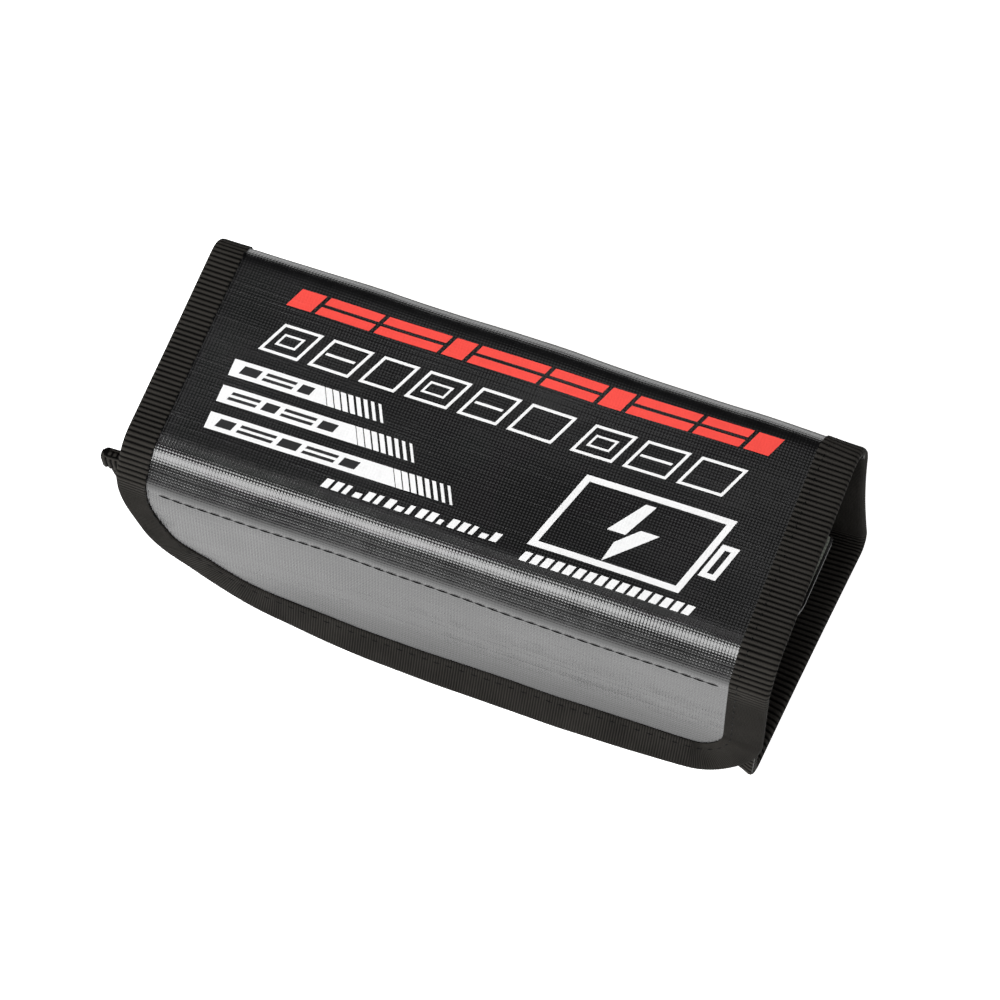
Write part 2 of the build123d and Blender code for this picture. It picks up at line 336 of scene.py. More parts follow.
def make_piece(name, points, faces, cloth_uv, finish, crease=50):
    """A mesh piece with the cloth's own coordinates, in metres, as its UV map."""
    mesh = bpy.data.meshes.new(name)
    mesh.from_pydata(np.asarray(points).reshape(-1, 3).tolist(), [], faces)
    shape = bmesh.new()
    shape.from_mesh(mesh)
    bmesh.ops.recalc_face_normals(shape, faces=shape.faces)
    shape.to_mesh(mesh)
    shape.free()
    corners = np.empty(len(mesh.loops), np.int32)
    mesh.loops.foreach_get("vertex_index", corners)
    layer = mesh.uv_layers.new(name="cloth")
    layer.data.foreach_set("uv", np.asarray(cloth_uv, np.float32).reshape(-1, 2)[corners].ravel())
    mesh.materials.append(finish)
    mesh.shade_smooth()
    mesh.set_sharp_from_angle(angle=math.radians(crease))
    piece = bpy.data.objects.new(name, mesh)
    bpy.context.collection.objects.link(piece)
    return piece


def between_depths(x, s, outer, inner, surface):
    """A closed thin solid between two depths of a surface: its points, faces and cloth coordinates."""
    rows, columns = x.shape
    points = np.concatenate([surface(x, s, outer).reshape(-1, 3), surface(x, s, inner).reshape(-1, 3)])
    under = rows * columns
    faces = grid_faces(rows, columns) + [f[::-1] for f in grid_faces(rows, columns, under)]
    index = np.arange(under).reshape(rows, columns)
    rim = np.concatenate([index[0], index[1:, -1], index[-1, -2::-1], index[-2:0:-1, 0]])
    after = np.roll(rim, -1)
    faces += np.stack([rim, rim + under, after + under, after], -1).tolist()
    uv = np.stack([x, s], -1).reshape(-1, 2)
    return points, faces, np.concatenate([uv, uv])


def thin_sheet(name, x, s, outer, inner, finish, surface=wrap):
    """A cloth as a closed thin solid between two depths, over a grid of cloth coordinates."""
    return make_piece(name, *between_depths(x, s, outer, inner, surface), finish)


def cloth_grid(left, right, low, high, step):
    """Even grid of cloth coordinates. left and right may change along the cloth."""
    s = np.linspace(low, high, int((high - low) / step) + 2)
    share = np.linspace(0, 1, int(bag_long / step))
    left = np.broadcast_to(left(s) if callable(left) else left, s.shape)
    right = np.broadcast_to(right(s) if callable(right) else right, s.shape)
    x = left[:, None] + (right - left)[:, None] * share
    return x, np.broadcast_to(s[:, None], x.shape)


def rounded_line(corners, radii, step):
    """Evenly spaced points along a line with rounded corners, and the unit vector to its left."""
    corners = [np.array(c, float) for c in corners]
    points = []
    start = corners[0]
    for k in range(1, len(corners) - 1):
        before = corners[k] - corners[k - 1]
        before = before / np.linalg.norm(before)
        after = corners[k + 1] - corners[k]
        after = after / np.linalg.norm(after)
        turn = math.atan2(before[0] * after[1] - before[1] * after[0], before @ after)
        reach = radii[k - 1] * math.tan(abs(turn) / 2)
        low = corners[k] - before * reach
        left = np.array([-before[1], before[0]]) * math.copysign(1, turn)
        centre = low + left * radii[k - 1]
        angle = np.linspace(0, turn, 40)[:, None]
        arm = low - centre
        arc = centre + arm * np.cos(angle) + np.array([-arm[1], arm[0]]) * np.sin(angle)
        points.append(np.concatenate([[start], arc]))
        start = arc[-1]
    points.append(np.stack([start, corners[-1]]))
    line = np.concatenate(points)
    gaps = np.linalg.norm(np.diff(line, axis=0), axis=1)
    keep = np.concatenate([[True], gaps > 1e-7])
    line = line[keep]
    along = np.concatenate([[0], np.cumsum(np.linalg.norm(np.diff(line, axis=0), axis=1))])
    count = int(round(along[-1] / step)) + 1
    even = np.linspace(0, along[-1], count)
    line = np.stack([np.interp(even, along, line[:, i]) for i in (0, 1)], -1)
    way = np.gradient(line, axis=0)
    way = way / np.linalg.norm(way, axis=1)[:, None]
    return line, np.stack([-way[:, 1], way[:, 0]], -1), even


def cloth_place(nodes):
    """The cloth's own coordinates, in metres."""
    where = nodes.new("ShaderNodeUVMap")
    where.uv_map = "cloth"
    return where.outputs[0]


def cloth_noise(nodes, links, where, scale, detail):
    """A fine unevenness over the cloth."""
    noise = nodes.new("ShaderNodeTexNoise")
    noise.inputs["Scale"].default_value = scale
    noise.inputs["Detail"].default_value = detail
    links.new(where, noise.inputs["Vector"])
    return noise.outputs[0]


def toned(nodes, links, shader, value, dark_at, dark, light_at, light):
    """Colours a finish from dark to light as a value rises between two marks."""
    shade = nodes.new("ShaderNodeValToRGB")
    ends = shade.color_ramp.elements
    ends[0].position = dark_at
    ends[0].color = dark + (1,)
    ends[1].position = light_at
    ends[1].color = light + (1,)
    links.new(value, shade.inputs[0])
    links.new(shade.outputs[0], shader["Base Color"])


def math_node(nodes, links, operation, first, second=None, third=None):
    """One sum of a finish, over values or other nodes' outputs."""
    node = nodes.new("ShaderNodeMath")
    node.operation = operation
    for socket, value in zip(node.inputs, (first, second, third)):
        if isinstance(value, (int, float)):
            socket.default_value = value
        elif value is not None:
            links.new(value, socket)
    return node.outputs[0]


def weave(nodes, links, pitch, uneven=0.5):
    """Height of a plain weave of that yarn spacing: a dome where each yarn passes over another.

    Yarns differ a little in height, and long stretches of cloth differ from each other.
    """
    where = cloth_place(nodes)
    parts = nodes.new("ShaderNodeSeparateXYZ")
    links.new(where, parts.inputs[0])
    ridges = []
    rows = []
    for axis in ("X", "Y"):
        turns = math_node(nodes, links, "MULTIPLY", parts.outputs[axis], 1 / pitch)
        wave = math_node(nodes, links, "SINE", math_node(nodes, links, "MULTIPLY", turns, math.pi))
        ridges.append(math_node(nodes, links, "POWER", math_node(nodes, links, "ABSOLUTE", wave), 0.7))
        rows.append(math_node(nodes, links, "FLOOR", turns))
    crossing = math_node(nodes, links, "MULTIPLY_ADD", ridges[1], 0.55, 0.45)
    dome = math_node(nodes, links, "MULTIPLY", ridges[0], crossing)
    pick = nodes.new("ShaderNodeTexWhiteNoise")
    pick.noise_dimensions = "1D"
    links.new(rows[1], pick.inputs["W"])
    patch = cloth_noise(nodes, links, where, 160, 3)
    lift = math_node(nodes, links, "MULTIPLY_ADD", pick.outputs["Value"], uneven, 1 - uneven / 2)
    lift = math_node(nodes, links, "MULTIPLY", lift, math_node(nodes, links, "ADD", patch, 0.5))
    return math_node(nodes, links, "MULTIPLY", dome, lift), where


def bump_from(nodes, links, height, distance, shader):
    """Raises a finish by a height from 0 to 1 times a distance."""
    bump = nodes.new("ShaderNodeBump")
    bump.inputs["Distance"].default_value = distance
    links.new(height, bump.inputs["Height"])
    links.new(bump.outputs[0], shader["Normal"])


yarn_pitch = 0.87 * mm
cloth_step = 1.6 * mm
coated_cloth, nodes, links, shader = new_finish("coated_cloth")
height, where = weave(nodes, links, yarn_pitch)
bump_from(nodes, links, height, 0.07 * mm, shader)
# The colour follows the weave's height: darker in the dips, as painted shade, and lighter on the yarn tops,
# as painted highlight.
toned(nodes, links, shader, height, 0.15, (0.002, 0.002, 0.002), 0.9, (0.008, 0.008, 0.0085))
shader["Specular IOR Level"].default_value = 1.0
gloss = math_node(nodes, links, "MULTIPLY_ADD", cloth_noise(nodes, links, where, 55, 5), 0.14, 0.12)
# the standing yarns break up the gloss where the cloth is seen nearly edge on
edge_on = nodes.new("ShaderNodeLayerWeight")
edge_on.inputs["Blend"].default_value = 0.5
broken = nodes.new("ShaderNodeMapRange")
broken.inputs["From Min"].default_value = 0.6
broken.inputs["From Max"].default_value = 0.9
broken.inputs["To Min"].default_value = 0
broken.inputs["To Max"].default_value = 0.7
links.new(edge_on.outputs["Facing"], broken.inputs["Value"])
links.new(math_node(nodes, links, "ADD", gloss, broken.outputs[0]), shader["Roughness"])

lid_edge = {-1: -92.9 * mm, 1: 91.7 * mm}
rear_path = {
    side: [(side * tape_half, at_back_foot), (side * tape_half, at_roll), (lid_edge[side], at_lid_back),
           (lid_edge[side], at_lid_middle)]
    for side in (-1, 1)
}


def rear_edge(side, inset):
    """The side edge of the back wall and the lid's rear half, set in by some width."""
    path = np.array(rear_path[side])
    return lambda s: np.interp(s, path[:, 1], path[:, 0]) - side * inset


def rear_grid(step=cloth_step):
    """Cloth coordinates over the back wall and the lid's rear half."""
    left, right = rear_edge(-1, cloth_inset), rear_edge(1, cloth_inset)
    return cloth_grid(left, right, at_back_foot, at_lid_middle, step)


back_cloth = thin_sheet("back_wall_cloth", *rear_grid(), 0, cloth_thick, coated_cloth)
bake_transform(back_cloth)
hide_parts("back_panel", "lid_panel")

# ---------------------------------------------------------------- front of the lid and flap
# The same cloth runs on over the soft front fold and down the flap, whose lower corners are cut
# round. A row of stitches across it holds the loop strip behind.

flap_corners = [(lid_edge[-1], at_lid_middle), (lid_edge[-1], at_hem - 37 * mm),
                (lid_edge[-1] + 8.6 * mm, at_hem - 16.5 * mm), (lid_edge[-1] + 32 * mm, at_hem),
                (lid_edge[1], at_hem), (lid_edge[1], at_lid_middle)]
flap_rounding = [40 * mm, 25 * mm, 45 * mm, 19 * mm]
flap_path, flap_left = rounded_line(flap_corners, flap_rounding, 0.15 * mm)[:2]


def flap_edge(side, inset):
    """The flap's side edge along the cloth, rounded into the hem, set in by some width."""
    inner = flap_path - flap_left * inset
    half = inner[inner[:, 0] * side > 10 * mm]
    half = half[np.argsort(half[:, 1])]
    return lambda s: np.interp(s, half[:, 1], half[:, 0])


def flap_grid(step=cloth_step):
    """Cloth coordinates over the lid's front half and the flap."""
    left, right = flap_edge(-1, cloth_inset), flap_edge(1, cloth_inset)
    return cloth_grid(left, right, at_lid_middle, at_hem - cloth_inset, step)


front_cloth = thin_sheet("flap_cloth", *flap_grid(), 0, cloth_thick, coated_cloth)
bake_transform(front_cloth)
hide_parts("lid_panel", "flap_panel")

# ---------------------------------------------------------------- front wall and bottom
# The other end of the wrap: it passes under the bag and stands up as the front wall, whose left
# edge spreads outwards at the top.

flare = 6.4 * mm


def front_edge(side, inset):
    """The front wall's side edge. The left one leans out towards the rim."""

    def edge(s):
        lean = flare * np.clip(1 - s / at_front_foot, 0, 1) if side < 0 else 0
        return side * (tape_half - inset + lean)

    return edge


def lower_grid(step=cloth_step):
    """Cloth coordinates over the front wall and the bottom."""
    left, right = front_edge(-1, cloth_inset), front_edge(1, cloth_inset)
    return cloth_grid(left, right, at_rim + rim_inset, at_back_foot, step)


lower_cloth = thin_sheet("front_wall_cloth", *lower_grid(), 0, cloth_thick, coated_cloth)
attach(lower_cloth, "body")
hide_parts("front_panel", "bottom_panel")

# ---------------------------------------------------------------- linings
# Uncoated woven glass cloth, pale greenish grey, laid inside the black cloth and caught in the
# same seams.

lining_step = 2.2 * mm
lining_pitch = 1.1 * mm
lining_cloth, nodes, links, shader = new_finish("lining_cloth")
height = weave(nodes, links, lining_pitch, 0.3)[0]
bump_from(nodes, links, height, 0.16 * mm, shader)
# The colour follows the weave's height: darker in the dips between yarns, as painted shade.
toned(nodes, links, shader, height, 0, (0.16, 0.175, 0.15), 1, (0.42, 0.45, 0.39))
shader["Roughness"].default_value = 0.62
shader["Sheen Weight"].default_value = 0.15

back_lining = thin_sheet("back_wall_lining", *rear_grid(lining_step), cloth_thick, both_thick, lining_cloth)
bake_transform(back_lining)
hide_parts("back_lining", "lid_lining")

flap_lining = thin_sheet("flap_lining_cloth", *flap_grid(lining_step), cloth_thick, both_thick, lining_cloth)
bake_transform(flap_lining)
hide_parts("lid_lining", "flap_lining")

lower_lining = thin_sheet("front_wall_lining", *lower_grid(lining_step), cloth_thick, both_thick,
                          lining_cloth)
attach(lower_lining, "body")
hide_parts("front_lining", "bottom_lining")

# ---------------------------------------------------------------- end panels
# A panel of the same black cloth closes each end. Its front, bottom and back edges turn outwards
# and are sewn into the seams; its top edge is a raw cut that bows outwards, more so on the right.

end_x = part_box("right_end_panel")[0].x + cloth_thick
end_rim_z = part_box("right_end_panel")[1].z
seam_thick = both_thick + cloth_thick
bow = {-1: 5 * mm, 1: 11.5 * mm}
hollow = 2.5 * mm
foot_rise = 4 * mm
foot_round = 3 * mm


def end_wall(side):
    """A surface function for one end panel: across it, up it, and a depth inside its outer face."""

    def surface(y, z, depth):
        rise = np.clip(z / end_rim_z, 0, 1)
        middle = np.clip(1 - ((y + 4 * mm) / (34 * mm)) ** 2, 0, 1)
        peak = np.clip((15 * mm - y) / (6 * mm), 0, 1) * np.clip((y + 35 * mm) / (24 * mm), 0, 1)
        out = bow[side] * rise**4 * peak * peak * (3 - 2 * peak)
        out = out - hollow * np.sin(math.pi * rise) * middle
        out = out + ripple(y * 1.3, z * 1.7) * 2.2 * middle * np.sin(math.pi * np.clip(rise, 0.02, 0.98))
        points = np.stack([side * (end_x + out - depth), y + 0 * depth, z + 0 * depth], -1)
        return slumped(points, np.ones_like(y))

    return surface


def curl(share):
    """How far a rounded corner has closed in, from 0 to nearly 1, a share of the way into it."""
    return 1 - np.sqrt(1 - share**2 * 0.999)


end_cloths = []
front_inner = front_y + both_thick
back_inner = back_y - both_thick
for side, hand in ((-1, "left"), (1, "right")):
    z = np.linspace(both_thick, end_rim_z + 1.5 * mm, 34)
    low_round = np.clip(1 - (z - both_thick) / foot_rise, 0, 1)
    high_round = np.clip((z - (top_z - wrap_radii[2])) / wrap_radii[2], 0, 1)
    low_y = front_inner + foot_round * curl(low_round)
    high_y = back_inner - foot_round * curl(low_round) - (wrap_radii[2] - both_thick) * curl(high_round)
    share = np.linspace(0, 1, 48)
    y = low_y[:, None] + (high_y - low_y)[:, None] * share
    z = np.broadcast_to(z[:, None], y.shape)
    panel = thin_sheet(f"{hand}_end_cloth", y, z, 0, cloth_thick, coated_cloth, end_wall(side))
    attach(panel, "body")
    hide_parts(f"{hand}_end_panel")
    inner = thin_sheet(f"{hand}_end_lining_cloth", y, z, cloth_thick, both_thick, lining_cloth,
                       end_wall(side))
    end_cloths += [panel, inner]
    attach(inner, "body")
    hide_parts(f"{hand}_end_lining")
    s = np.linspace(at_rim + rim_inset, at_roll + 7 * mm, 120)
    x = side * np.linspace(end_x, cloth_half - 0.2 * mm, 6)
    x, s = np.meshgrid(x, s)
    flange = thin_sheet(f"{hand}_end_flange", x, s, both_thick, seam_thick, coated_cloth)
    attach(flange, "body")

# ---------------------------------------------------------------- binding tape
# Black ribbed woven tape, folded over every seam and free edge and stitched through. It runs on
# from the back seams up over the lid's sides and all round the flap. Its ribs cross the tape.

tape_thick = 0.42 * mm
rib_pitch = 1.5 * mm
rib_rise = 0.3 * mm
rib_steps = 10
warp_pitch = 0.42 * mm
edge_ravel = 0.12 * mm
leaf_width = 11 * mm
rim_leaf_width = 5.5 * mm

binding_tape, nodes, links, shader = new_finish("binding_tape")
where = cloth_place(nodes)
parts = nodes.new("ShaderNodeSeparateXYZ")
links.new(where, parts.inputs[0])
turns = math_node(nodes, links, "MULTIPLY", parts.outputs["Y"], math.tau / warp_pitch)
warp = math_node(nodes, links, "SINE", turns)
threads = math_node(nodes, links, "MULTIPLY_ADD", warp, 0.35, cloth_noise(nodes, links, where, 2600, 3))
bump_from(nodes, links, threads, 0.07 * mm, shader)
# The colour follows the rib height in the ribs map, with random wear mixed in: darker in the valleys between
# ribs, as painted shade, and darker all over where the ribs are fine, on the flap's drop and hem and up the
# back wall, as painted shade.
ribs = nodes.new("ShaderNodeUVMap")
ribs.uv_map = "ribs"
rib = nodes.new("ShaderNodeSeparateXYZ")
links.new(ribs.outputs[0], rib.inputs[0])
worn = math_node(nodes, links, "MULTIPLY_ADD", cloth_noise(nodes, links, where, 90, 4), 0.35, -0.175)
wear_and_rib_shade = math_node(nodes, links, "ADD", worn, rib.outputs["X"])
toned(nodes, links, shader, wear_and_rib_shade, 0.1, (0.002, 0.0019, 0.0018), 0.8, (0.036, 0.0335, 0.03))
shader["Roughness"].default_value = 0.75
shader["Specular IOR Level"].default_value = 0.03


def ribs_along(along, place):
    """Rib height from 0 to 1: coarse ribs where the tape is stretched along the lid, fine ones elsewhere."""
    # This height also sets the tape's colour: painted shade in the valleys, and on the fine-ribbed stretches,
    # which stay darker.
    s = place[:, 1]
    coarse = np.clip((s - at_roll) / (14 * mm), 0, 1) * np.clip((at_drop + 9 * mm - s) / (14 * mm), 0, 1)
    coarse = np.clip(coarse + (s < at_back_foot), 0, 1)
    wave = 0.5 - 0.5 * np.cos(math.tau * along / rib_pitch)
    fine = 0.5 - 0.5 * np.cos(math.tau * 2 * along / rib_pitch)
    return coarse * wave**0.8 + (1 - coarse) * (0.195 + 0.45 * fine)


def folded_tape(name, corners, radii, clamp, inward=1, width=leaf_width, end=None, lift=None):
    """Tape folded over an edge that runs through the corners, in cloth coordinates.

    clamp is the thickness inside the fold, and lift an extra stand-off where tapes cross. Clamp,
    lift and the leaf's width may be functions of the place. inward is +1 where the cloth lies to
    the left of the edge, -1 where it lies to the right. end is where in its ribs the tape ends.
    """
    edge, left, along = rounded_line(corners, radii, rib_pitch / rib_steps)
    if end is not None:
        along = along - along[-1] + end
    into = left * inward
    inside = clamp(edge) if callable(clamp) else np.full(len(edge), clamp)
    width = width(edge) if callable(width) else np.full(len(edge), width)
    rib_wave = ribs_along(along, edge)
    rise = tape_thick + rib_rise * (rib_wave - 0.6)
    if lift:
        rise = rise + lift(edge)
    bulge = inside / 2 + rise
    loops = []
    ravel = edge_ravel * rib_wave
    leaf = [(share, 1) for share in (0.26, 0.36, 0.48, 0.6, 0.72, 0.84)] + [(0.93, 1.1), (0.985, 1), (1, 0.4)]
    for share, high in leaf[::-1]:
        loops.append((width * share + ravel * (share > 0.98), -high * rise))
    for angle in np.radians([-90, -60, -30, 0, 30, 60, 90]):
        loops.append((bulge * (1 - np.cos(angle)), inside / 2 + bulge * np.sin(angle)))
    for share, high in leaf:
        loops.append((width * share + ravel * (share > 0.98), inside + high * rise))
    loops.append((width * 0.99, inside))
    loops.append((bulge, inside))
    loops.append((bulge, 0 * inside))
    loops.append((width * 0.99, 0 * inside))
    across = np.stack([np.broadcast_to(c, inside.shape) for c, _ in loops], -1)
    depth = np.stack([np.broadcast_to(d, inside.shape) for _, d in loops], -1)
    place = edge[:, None, :] + into[:, None, :] * across[..., None]
    points = wrap(place[..., 0], place[..., 1], depth)
    rows, columns = across.shape
    faces = grid_faces(rows, columns, closed=True)
    faces += [list(range(columns)), list(range((rows - 1) * columns, rows * columns))[::-1]]
    uv = np.stack([np.broadcast_to(along[:, None], across.shape), across], -1)
    tape = make_piece(name, points, faces, uv, binding_tape, crease=80)
    corners = np.empty(len(tape.data.loops), np.int32)
    tape.data.loops.foreach_get("vertex_index", corners)
    # The rib height goes to the ribs map, which sets the painted shade in the tape's colour.
    wave = np.broadcast_to(rib_wave[:, None], across.shape).ravel()
    layer = tape.data.uv_layers.new(name="ribs")
    layer.data.foreach_set("uv", np.stack([wave, 0 * wave], -1)[corners].astype(np.float32).ravel())
    return tape, edge, into, along


def roll_clamp(edge):
    """Inside the back seam's fold the end panel's flange fades out over the roll."""
    share = np.clip((edge[:, 1] - at_roll) / (at_lid_back - at_roll), 0, 1)
    return seam_thick + (both_thick - seam_thick) * share


def flap_leaf(edge):
    """The tape is narrower down the left side, where more of it is taken up by its fold."""
    return leaf_width - 2.1 * mm * np.clip((-edge[:, 0] - 74 * mm) / (16 * mm), 0, 1)


flap_tape, *flap_run = folded_tape("flap_tape", flap_corners, flap_rounding, both_thick, inward=-1,
                                   width=flap_leaf)
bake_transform(flap_tape)
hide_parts("left_lid_binding", "right_lid_binding", "flap_binding")

tape_runs = [("flap_tape_stitches", flap_run, both_thick, "flap")]
for side, hand in ((-1, "left"), (1, "right")):
    edge = side * tape_half
    lower = [(edge - (flare if side < 0 else 0), at_rim), (edge, at_front_foot), (edge, at_back_foot)]
    lower_tape, *run = folded_tape(f"{hand}_seam_tape", lower, [40 * mm], seam_thick, inward=side)
    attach(lower_tape, "body")
    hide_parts(f"{hand}_front_binding", f"{hand}_bottom_binding")
    tape_runs.append((f"{hand}_seam_stitches", run, seam_thick, "body"))
    rear_tape, *run = folded_tape(f"{hand}_back_tape", rear_path[side], [60 * mm, 60 * mm], roll_clamp,
                                  inward=side, width=flap_leaf if side < 0 else leaf_width,
                                  end=0 if side < 0 else -flap_run[2][-1])
    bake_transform(rear_tape)
    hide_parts(f"{hand}_back_binding", f"{hand}_lid_binding")
    tape_runs.append((f"{hand}_back_stitches", run, both_thick, "lid"))

rim_left = -tape_half - flare - 0.3 * mm
rim_right = tape_half + 0.3 * mm


def over_seams(edge):
    """The rim's tape runs over the ends of the seam tapes."""
    return 0.4 * mm * np.clip((np.abs(edge[:, 0]) - 79 * mm) / (3 * mm), 0, 1)


rim_tape = folded_tape("front_rim_tape", [(rim_left, at_rim), (rim_right, at_rim)], [], both_thick,
                       width=rim_leaf_width, lift=over_seams)[0]
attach(rim_tape, "body")
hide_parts("front_rim_binding")

# ---------------------------------------------------------------- sewing thread
# Black lockstitch: one row along each side and flap tape, one across the flap that holds the loop
# strip's top, and a ring round the hook strip. Each stitch dives into the cloth at its ends.

thread, nodes, links, shader = new_finish("thread")
twist = nodes.new("ShaderNodeTexWave")
twist.bands_direction = "DIAGONAL"
twist.inputs["Scale"].default_value = 1400
links.new(cloth_place(nodes), twist.inputs["Vector"])
bump_from(nodes, links, twist.outputs["Fac"], 0.03 * mm, shader)
shader["Base Color"].default_value = (0.003, 0.003, 0.003, 1)
shader["Roughness"].default_value = 0.6
shader["Specular IOR Level"].default_value = 0.06
stitch_long = 2.6 * mm
stitch_step = 3.6 * mm
row_inset = 2.2 * mm


def stitch_solids(line, across, depth, side=-1, long=stitch_long, wide=0.5 * mm, rise=0.25 * mm):
    """Stitches along a line in cloth coordinates. side is -1 on the outer face, +1 on the inner one."""
    gaps = np.concatenate([[0], np.cumsum(np.linalg.norm(np.diff(line, axis=0), axis=1))])
    middles = np.arange(stitch_step / 2, gaps[-1] - long / 2, stitch_step)
    u = np.array([-1, -0.85, -0.5, 0, 0.5, 0.85, 1])
    fat = np.sqrt(1 - (u * 0.97) ** 2)
    angle = np.linspace(0, math.tau, 9)[:-1]
    points, faces, uv = [], [], []
    for count, middle in enumerate(middles):
        along = middle + u * long / 2
        centre = np.stack([np.interp(along, gaps, line[:, i]) for i in (0, 1)], -1)
        sideways = np.stack([np.interp(along, gaps, across[:, i]) for i in (0, 1)], -1)
        deep = np.interp(middle, gaps, depth) if np.ndim(depth) else depth
        slant = 0.09 * mm * np.sin(7.1 * count)
        reach = (fat[:, None] * np.cos(angle) * wide / 2 + slant * u[:, None])[..., None]
        place = centre[:, None, :] + sideways[:, None, :] * reach
        lift = fat[:, None] * np.sin(angle) * rise - (u**2)[:, None] * rise * 0.4
        solid = wrap(place[..., 0], place[..., 1], deep + side * lift).reshape(-1, 3)
        first = len(points) * len(u) * len(angle)
        points.append(solid)
        faces += grid_faces(len(u), len(angle), first, closed=True)
        last = first + (len(u) - 1) * len(angle)
        faces += [list(range(first, first + len(angle)))[::-1], list(range(last, last + len(angle)))]
        uv.append(np.stack(np.broadcast_arrays(along[:, None], angle * wide / 2), -1).reshape(-1, 2))
    return np.concatenate(points), faces, np.concatenate(uv)


def join_solids(parts):
    """Several solids as one: their points, faces and cloth coordinates."""
    points, faces, uv = [], [], []
    for some_points, some_faces, some_uv in parts:
        first = sum(len(p) for p in points)
        points.append(some_points)
        faces += [[v + first for v in f] for f in some_faces]
        uv.append(some_uv)
    return np.concatenate(points), faces, np.concatenate(uv)


for name, (edge, into, along), inside, where_to in tape_runs:
    line = edge + into * (leaf_width - row_inset)
    outer = stitch_solids(line, into, -tape_thick * 0.72)
    inner = stitch_solids(line, into, inside + tape_thick * 0.85, side=1)
    row = make_piece(name, *join_solids([outer, inner]), thread)
    if where_to == "body":
        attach(row, "body")
    elif where_to == "lid":
        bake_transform(row)
    else:
        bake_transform(row)


def straight_line(x_from, x_to, s_from, s_to):
    """Points along a straight row of stitches, and the way across it."""
    share = np.linspace(0, 1, 200)[:, None]
    line = np.array([x_from, s_from]) + share * np.array([x_to - x_from, s_to - s_from])
    way = np.array([x_to - x_from, s_to - s_from])
    way = way / np.linalg.norm(way)
    return line, np.broadcast_to(np.array([-way[1], way[0]]), line.shape)


line, sideways = straight_line(-80.5 * mm, 79.8 * mm, at_loop_stitches, at_loop_stitches)
flap_row = stitch_solids(line, sideways, -0.1 * mm, long=4.2 * mm, wide=0.55 * mm, rise=0.3 * mm)
flap_row = make_piece("flap_stitch_row", *flap_row, thread)
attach(flap_row, "flap")
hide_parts("flap_stitching")

# ---------------------------------------------------------------- hook strip
# Black nylon hook tape sewn along the outside of the front wall: a woven base with rows of small
# bent hooks.

strip_nylon, nodes, links, shader = new_finish("strip_nylon")
bump_from(nodes, links, weave(nodes, links, 0.5 * mm, 0.3)[0], 0.05 * mm, shader)
shader["Base Color"].default_value = (0.012, 0.012, 0.012, 1)
shader["Roughness"].default_value = 0.55

strip_half = 79 * mm
hook_top = at_rim + rim_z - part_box("hook_strip")[1].z
hook_bottom = at_rim + rim_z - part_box("hook_strip")[0].z
s = np.linspace(hook_top, hook_bottom, 18)
x, s = np.meshgrid(np.linspace(-strip_half, strip_half, 120), s)
hook_base = thin_sheet("hook_strip_base", x, s, -0.45 * mm, 0, strip_nylon)
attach(hook_base, "body")
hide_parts("hook_strip")

pick = np.random.default_rng(7)
hook_points, hook_faces = [], []
hook_stem = 0.22 * mm
hook_bend = 0.26 * mm
hook_wire = 0.09 * mm
bend = np.radians([0, 35, 75, 120, 165])
around = np.linspace(0, math.tau, 6)[:-1]
rings, sides = len(bend) + 1, len(around)
row_places = np.arange(hook_top + 1.6 * mm, hook_bottom - 1.5 * mm, 1.45 * mm)
for row, s_at in enumerate(row_places, 1):
    for x_at in np.arange(-strip_half + 1.6 * mm + (row % 2) * 0.7 * mm, strip_half - 1.5 * mm, 1.4 * mm):
        lean = pick.normal(0, 0.12)
        turn = 1 if row % 2 else -1
        reach = np.concatenate([[0], hook_bend * (1 - np.cos(bend))])
        rise = np.concatenate([[0], hook_stem + hook_bend * np.sin(bend)])
        way = np.concatenate([[0], bend])
        tube_x = x_at + turn * (reach[:, None] + hook_wire * np.cos(around) * np.cos(way)[:, None])
        tube_s = s_at + lean * reach[:, None] + hook_wire * np.sin(around)
        tube_d = -0.4 * mm - (rise[:, None] - hook_wire * np.cos(around) * np.sin(way)[:, None])
        tube_s = np.broadcast_to(tube_s, tube_x.shape)
        first = len(hook_points) * rings * sides
        last = first + (rings - 1) * sides
        hook_points.append(np.stack([tube_x, tube_s, tube_d], -1).reshape(-1, 3))
        hook_faces += grid_faces(rings, sides, first, closed=True)
        hook_faces += [list(range(first, first + sides))[::-1], list(range(last, last + sides))]
hook_points = np.concatenate(hook_points)
hooks = make_piece("hook_strip_hooks", wrap(*hook_points.T), hook_faces, hook_points[:, :2], strip_nylon)
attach(hooks, "body")

rows = []
for ends in ((-strip_half, strip_half, hook_top + 0.8 * mm, hook_top + 0.8 * mm),
             (-strip_half, strip_half, hook_bottom - 0.8 * mm, hook_bottom - 0.8 * mm),
             (-strip_half + 0.8 * mm, -strip_half + 0.8 * mm, hook_top, hook_bottom),
             (strip_half - 0.8 * mm, strip_half - 0.8 * mm, hook_top, hook_bottom)):
    line, sideways = straight_line(*ends)
    rows.append(stitch_solids(line, sideways, -0.42 * mm))
hook_rows = make_piece("hook_strip_stitches", *join_solids(rows), thread)
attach(hook_rows, "body")
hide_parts("hook_strip_stitching")

# ---------------------------------------------------------------- loop strip
# Black brushed loop tape behind the flap. Its pile is a dense mat of tiny loops, a little uneven.

